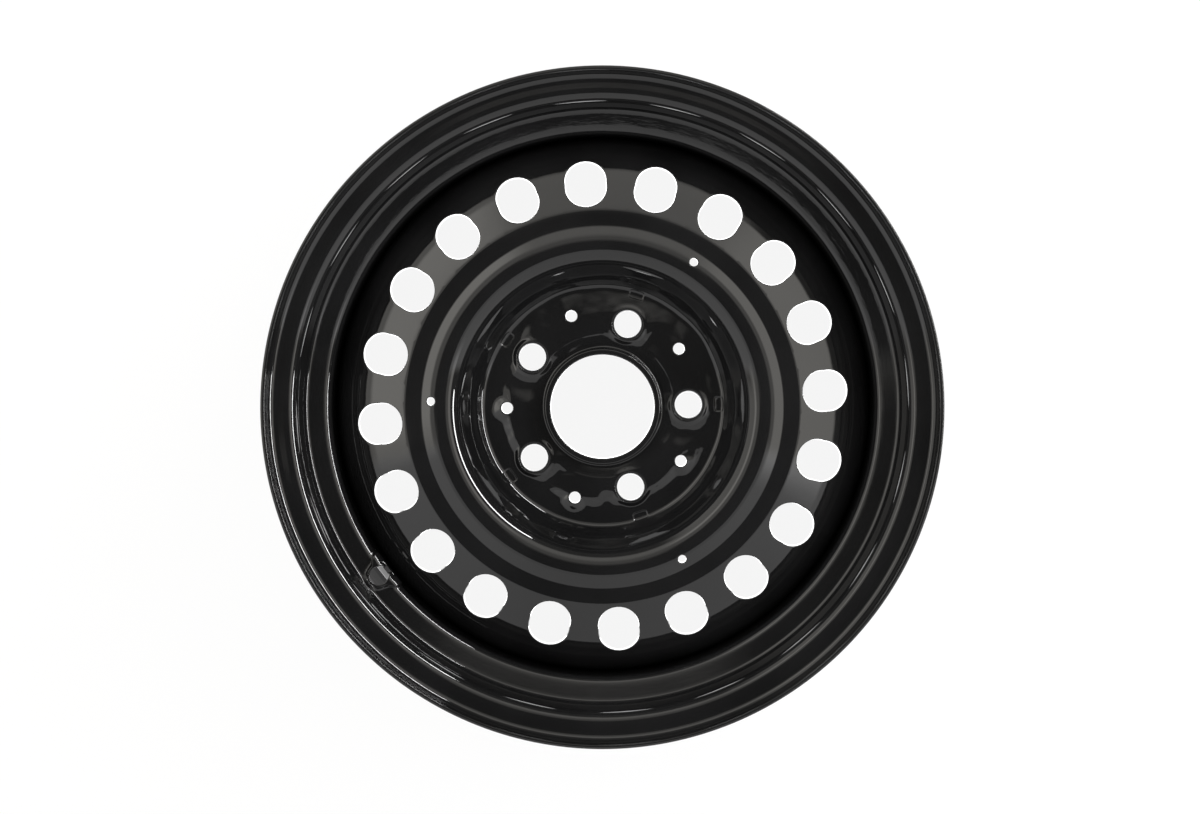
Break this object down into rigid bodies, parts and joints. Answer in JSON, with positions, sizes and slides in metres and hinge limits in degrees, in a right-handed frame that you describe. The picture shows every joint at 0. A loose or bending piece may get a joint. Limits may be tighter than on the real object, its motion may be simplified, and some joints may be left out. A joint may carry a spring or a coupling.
{
  "type": "steel wheel rim",
  "caption": "Black painted pressed-steel road wheel without a tyre: rolled rim, pressed disc with round vents, bolt holes and open centre bore",
  "frame": {"origin": "on the wheel axis, in the plane of the disc that meets the hub", "axes": "+Z is the wheel axis towards the outboard face, +X passes through a bolt hole, +Y completes the right-handed frame; the wheel lies on its inboard edge"},
  "size_m": [0.4151, 0.4152, 0.1891],
  "materials": {
    "rim_paint": "gloss black paint on rolled steel strip",
    "disc_paint": "gloss black paint on pressed steel sheet",
    "weld_paint": "black paint over rippled weld beads"
  },
  "bodies": {
    "root": {"rim_band": "rim_paint", "wheel_disc": "disc_paint", "disc_welds": "weld_paint"}
  },
  "joints": []
}
